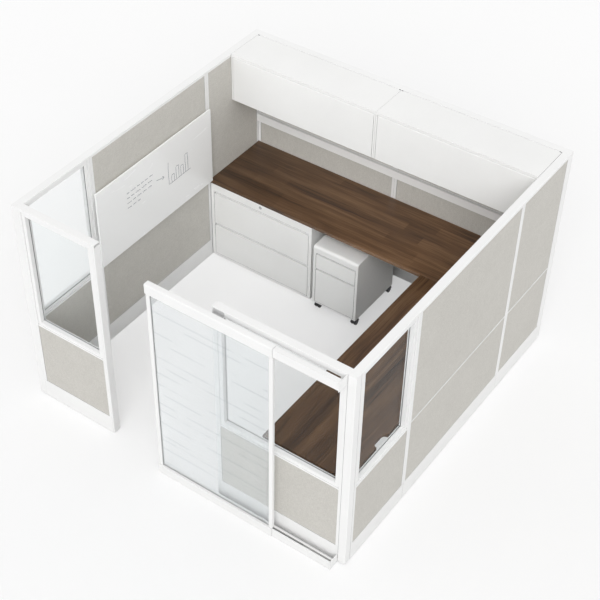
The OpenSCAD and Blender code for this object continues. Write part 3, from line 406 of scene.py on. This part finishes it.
# Each last pair is painted light along the top: the share of colour at the near or left end and at
# the far or right end
wood_main = walnut("walnut_main", True, 0.55, (0.80, 1.50))
wood_return = walnut("walnut_return", False, 0.22, (0.78, 1.12))
glass = clear_glass("clear_glass")
film_glass = etched_glass("etched_glass")
steel = brushed("drawn_steel", STEEL)
zinc = brushed("zinc_plate", ZINC, 0.42)
nylon = moulded("black_nylon", NYLON)
board = board_enamel("board_enamel")
ink = marker_ink("marker_ink", INK)

FINISH = {
    paint_frame: ["corner_posts", "corner_caps", "frames_left", "frames_back", "frames_right",
                  "frames_front", "base_covers", "top_caps", "end_trims", "glazing_beads",
                  "door_rails", "door_stiles", "track_end_plates"],
    paint_rail_lit: ["wall_rail", "rail_cover", "rail_lip", "rail_ends"],
    paint_track: ["track_top", "track_floor"],
    paint_carriage: ["carriage_top", "carriage_floor", "track_mounts"],
    paint_shell: ["overhead_shell_left", "overhead_shell_right"],
    paint_cabinet: ["overhead_door_left", "overhead_door_right"],
    paint_storage_lit: ["file_case", "file_drawer_upper", "file_drawer_lower", "pedestal_case",
                    "pedestal_drawer_upper", "pedestal_drawer_lower"],
    paint_grey: ["worksurface_brackets", "joining_plate", "overhead_hooks"],
    cloth: ["tiles_left", "tiles_back", "tiles_right", "tiles_front"],
    wood_main: ["worksurface_main"],
    wood_return: ["worksurface_return"],
    glass: ["window_glass"],
    film_glass: ["door_glass"],
    steel: ["levelling_feet", "overhead_pins", "file_lock", "file_runners", "pedestal_runners"],
    zinc: ["caster_plates"],
    nylon: ["file_feet", "door_guides"] + [
        f"caster_{part}_{end}_{side}" for part in ("yoke", "wheels") for end in ("front", "back")
        for side in ("left", "right")],
    board: ["whiteboard"],
}
for finish, names in FINISH.items():
    for name in names:
        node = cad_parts[name]
        node.data.materials.clear()
        node.data.materials.append(finish)
missing = set(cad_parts) - {name for names in FINISH.values() for name in names}
assert not missing, missing


def add_piece(name, mesh, material):
    """A new piece on the standing part of the workstation."""
    piece = bpy.data.objects.new(name, mesh)
    bpy.context.collection.objects.link(piece)
    mesh.materials.clear()
    mesh.materials.append(material)
    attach(piece, "workstation")
    return piece


def ribbons(name, strokes, width, place):
    """Flat strokes with narrowed ends at x = place. strokes are lists of (y, z)."""
    bm = bmesh.new()
    for points in strokes:
        left, right = [], []
        for i, p in enumerate(points):
            a, b = points[max(i - 1, 0)], points[min(i + 1, len(points) - 1)]
            d = Vector((b[0] - a[0], b[1] - a[1])).normalized()
            n = Vector((-d.y, d.x)) * width * (0.5 if 0 < i < len(points) - 1 else 0.28)
            left.append(bm.verts.new((place, p[0] + n.x, p[1] + n.y)))
            right.append(bm.verts.new((place, p[0] - n.x, p[1] - n.y)))
        for i in range(len(points) - 1):
            bm.faces.new((left[i], right[i], right[i + 1], left[i + 1]))
    bmesh.ops.recalc_face_normals(bm, faces=bm.faces)
    mesh = bpy.data.meshes.new(name)
    bm.to_mesh(mesh)
    bm.free()
    return mesh


def board_marks():
    """A small bar chart, an arrow and rows of plain wavy strokes, drawn by hand."""
    low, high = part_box("whiteboard")
    rng = random.Random(11)
    span_y, span_z = high.y - low.y, high.z - low.z

    def at(u, v):
        return (low.y + u * span_y, low.z + v * span_z)

    def line(u0, v0, u1, v1, n=9):
        points = [at(u0 + (u1 - u0) * i / (n - 1), v0 + (v1 - v0) * i / (n - 1))
                  for i in range(n)]
        return [(y + rng.uniform(-HAND_SHAKE, HAND_SHAKE), z + rng.uniform(-HAND_SHAKE, HAND_SHAKE))
                for y, z in points]

    strokes = [line(CHART_LEFT, CHART_FOOT, CHART_LEFT, CHART_TOP),
               line(CHART_LEFT, CHART_FOOT, CHART_RIGHT, CHART_FOOT)]
    for i, tall in enumerate(BAR_HEIGHTS):
        u0 = BAR_FIRST + i * BAR_STEP
        u1, top = u0 + BAR_WIDTH, CHART_FOOT + tall
        strokes += [line(u0, CHART_FOOT, u0, top, 6), line(u0, top, u1, top, 4),
                    line(u1, top, u1, CHART_FOOT, 6)]
    for row, (end, v) in enumerate(ROW_ENDS):
        u = ROW_START
        while u < end:
            length = rng.uniform(0.020, 0.045)
            strokes.append([at(u + length * k / (WAVE_POINTS - 1),
                               v + WAVE_HEIGHT * math.sin(k * WAVE_STEP + row)
                               + rng.uniform(-WAVE_SHAKE, WAVE_SHAKE))
                            for k in range(WAVE_POINTS)])
            u += length + ROW_GAP
    strokes += [line(*part) for part in ARROW]
    mesh = ribbons("board_marks", strokes, INK_WIDTH, high.x + INK_ABOVE)
    marks = add_piece("board_marks", mesh, ink)
    thick = marks.modifiers.new("thick", "SOLIDIFY")
    thick.thickness = INK_THICK
    thick.offset = 0.0


board_marks()


def narrow_rail():
    """The wall rail at the photograph's height: its four parts with their lower edge raised."""
    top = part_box("wall_rail")[1].z
    for node, name in (("wall_rail", "rail_body"), ("rail_cover", "rail_face"),
                       ("rail_lip", "rail_shelf"), ("rail_ends", "rail_end_caps")):
        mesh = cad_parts[node].data.copy()
        mesh.name = name
        for vertex in mesh.vertices:
            vertex.co.z = top - (top - vertex.co.z) * RAIL_SHARE
        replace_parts(add_piece(name, mesh, paint_rail_lit), node)


narrow_rail()


def background_rays(tree):
    """1 for rays that see the background: from the camera, off gloss or through glass. Else 0."""
    path = tree.nodes.new("ShaderNodeLightPath")
    seen = path.outputs["Is Camera Ray"]
    for other in ("Is Glossy Ray", "Is Transmission Ray"):
        either = tree.nodes.new("ShaderNodeMath")
        either.operation = "MAXIMUM"
        tree.links.new(seen, either.inputs[0])
        tree.links.new(path.outputs[other], either.inputs[1])
        seen = either.outputs[0]
    return seen


def stage_floor():
    """A pale matt floor that takes the object's shadow and meets the white background."""
    g = Graph("studio_floor")
    g.set(color=g.mix(g.noise(1.3, 3.0), FLOOR_DARK, FLOOR_LIGHT), rough=0.8, spec=0.1)
    g.bsdf.inputs["Emission Color"].default_value = (1.0, 1.0, 1.0, 1.0)
    glow = g.math("MULTIPLY", background_rays(g.tree), FLOOR_GLOW)
    g.put(g.bsdf.inputs["Emission Strength"], glow)
    corners = [(x * FLOOR_HALF, y * FLOOR_HALF, 0) for x, y in ((-1, -1), (1, -1), (1, 1), (-1, 1))]
    mesh = bpy.data.meshes.new("studio_floor")
    mesh.from_pydata(corners, [], [(0, 1, 2, 3)])
    mesh.materials.append(g.mat)
    floor = bpy.data.objects.new("studio_floor", mesh)
    bpy.context.collection.objects.link(floor)


stage_floor()


def studio_light():
    """Even light all round, stronger from the sides than from overhead, and one soft key."""
    world = bpy.data.worlds.new("studio")
    bpy.context.scene.world = world
    world.use_nodes = True
    tree = world.node_tree
    back = tree.nodes["Background"]
    place = tree.nodes.new("ShaderNodeTexCoord")
    split = tree.nodes.new("ShaderNodeSeparateXYZ")
    tree.links.new(place.outputs["Generated"], split.inputs[0])
    level = tree.nodes.new("ShaderNodeValToRGB")
    tree.links.new(split.outputs[2], level.inputs[0])
    stops = level.color_ramp.elements
    while len(stops) < len(SKY_LEVELS):
        stops.new(0.5)
    for stop, (height, share) in zip(stops, SKY_LEVELS):
        stop.position = height
        stop.color = (share, share, share, 1.0)
    tree.links.new(level.outputs[0], back.inputs["Color"])
    back.inputs["Strength"].default_value = SKY
    seen = tree.nodes.new("ShaderNodeBackground")
    seen.inputs["Color"].default_value = (1.0, 1.0, 1.0, 1.0)
    seen.inputs["Strength"].default_value = 1.0
    mix = tree.nodes.new("ShaderNodeMixShader")
    tree.links.new(background_rays(tree), mix.inputs[0])
    tree.links.new(back.outputs[0], mix.inputs[1])
    tree.links.new(seen.outputs[0], mix.inputs[2])
    tree.links.new(mix.outputs[0], tree.nodes["World Output"].inputs["Surface"])
    sun = bpy.data.lights.new("soft_key", "SUN")
    sun.energy = KEY
    sun.angle = math.radians(KEY_ANGLE)
    key = bpy.data.objects.new("soft_key", sun)
    bpy.context.collection.objects.link(key)
    key.rotation_euler = (-Vector(KEY_FROM)).to_track_quat("-Z", "Y").to_euler()


studio_light()


def photo_camera():
    data = bpy.data.cameras.new("photo_camera")
    data.sensor_width = SENSOR
    data.lens = FOCAL_PIXELS * SENSOR / FRAME_PIXELS
    data.shift_x = (FRAME_PIXELS / 2 - AXIS_PIXELS[0]) / FRAME_PIXELS
    data.shift_y = (AXIS_PIXELS[1] - FRAME_PIXELS / 2) / FRAME_PIXELS
    data.clip_end = 100.0
    camera = bpy.data.objects.new("photo_camera", data)
    bpy.context.collection.objects.link(camera)
    camera.location = CAMERA_AT
    camera.rotation_euler = (math.radians(90.0 - CAMERA_DOWN), 0.0, math.radians(CAMERA_TURN))
    bpy.context.scene.camera = camera


photo_camera()
bpy.context.scene.view_settings.view_transform = "Standard"
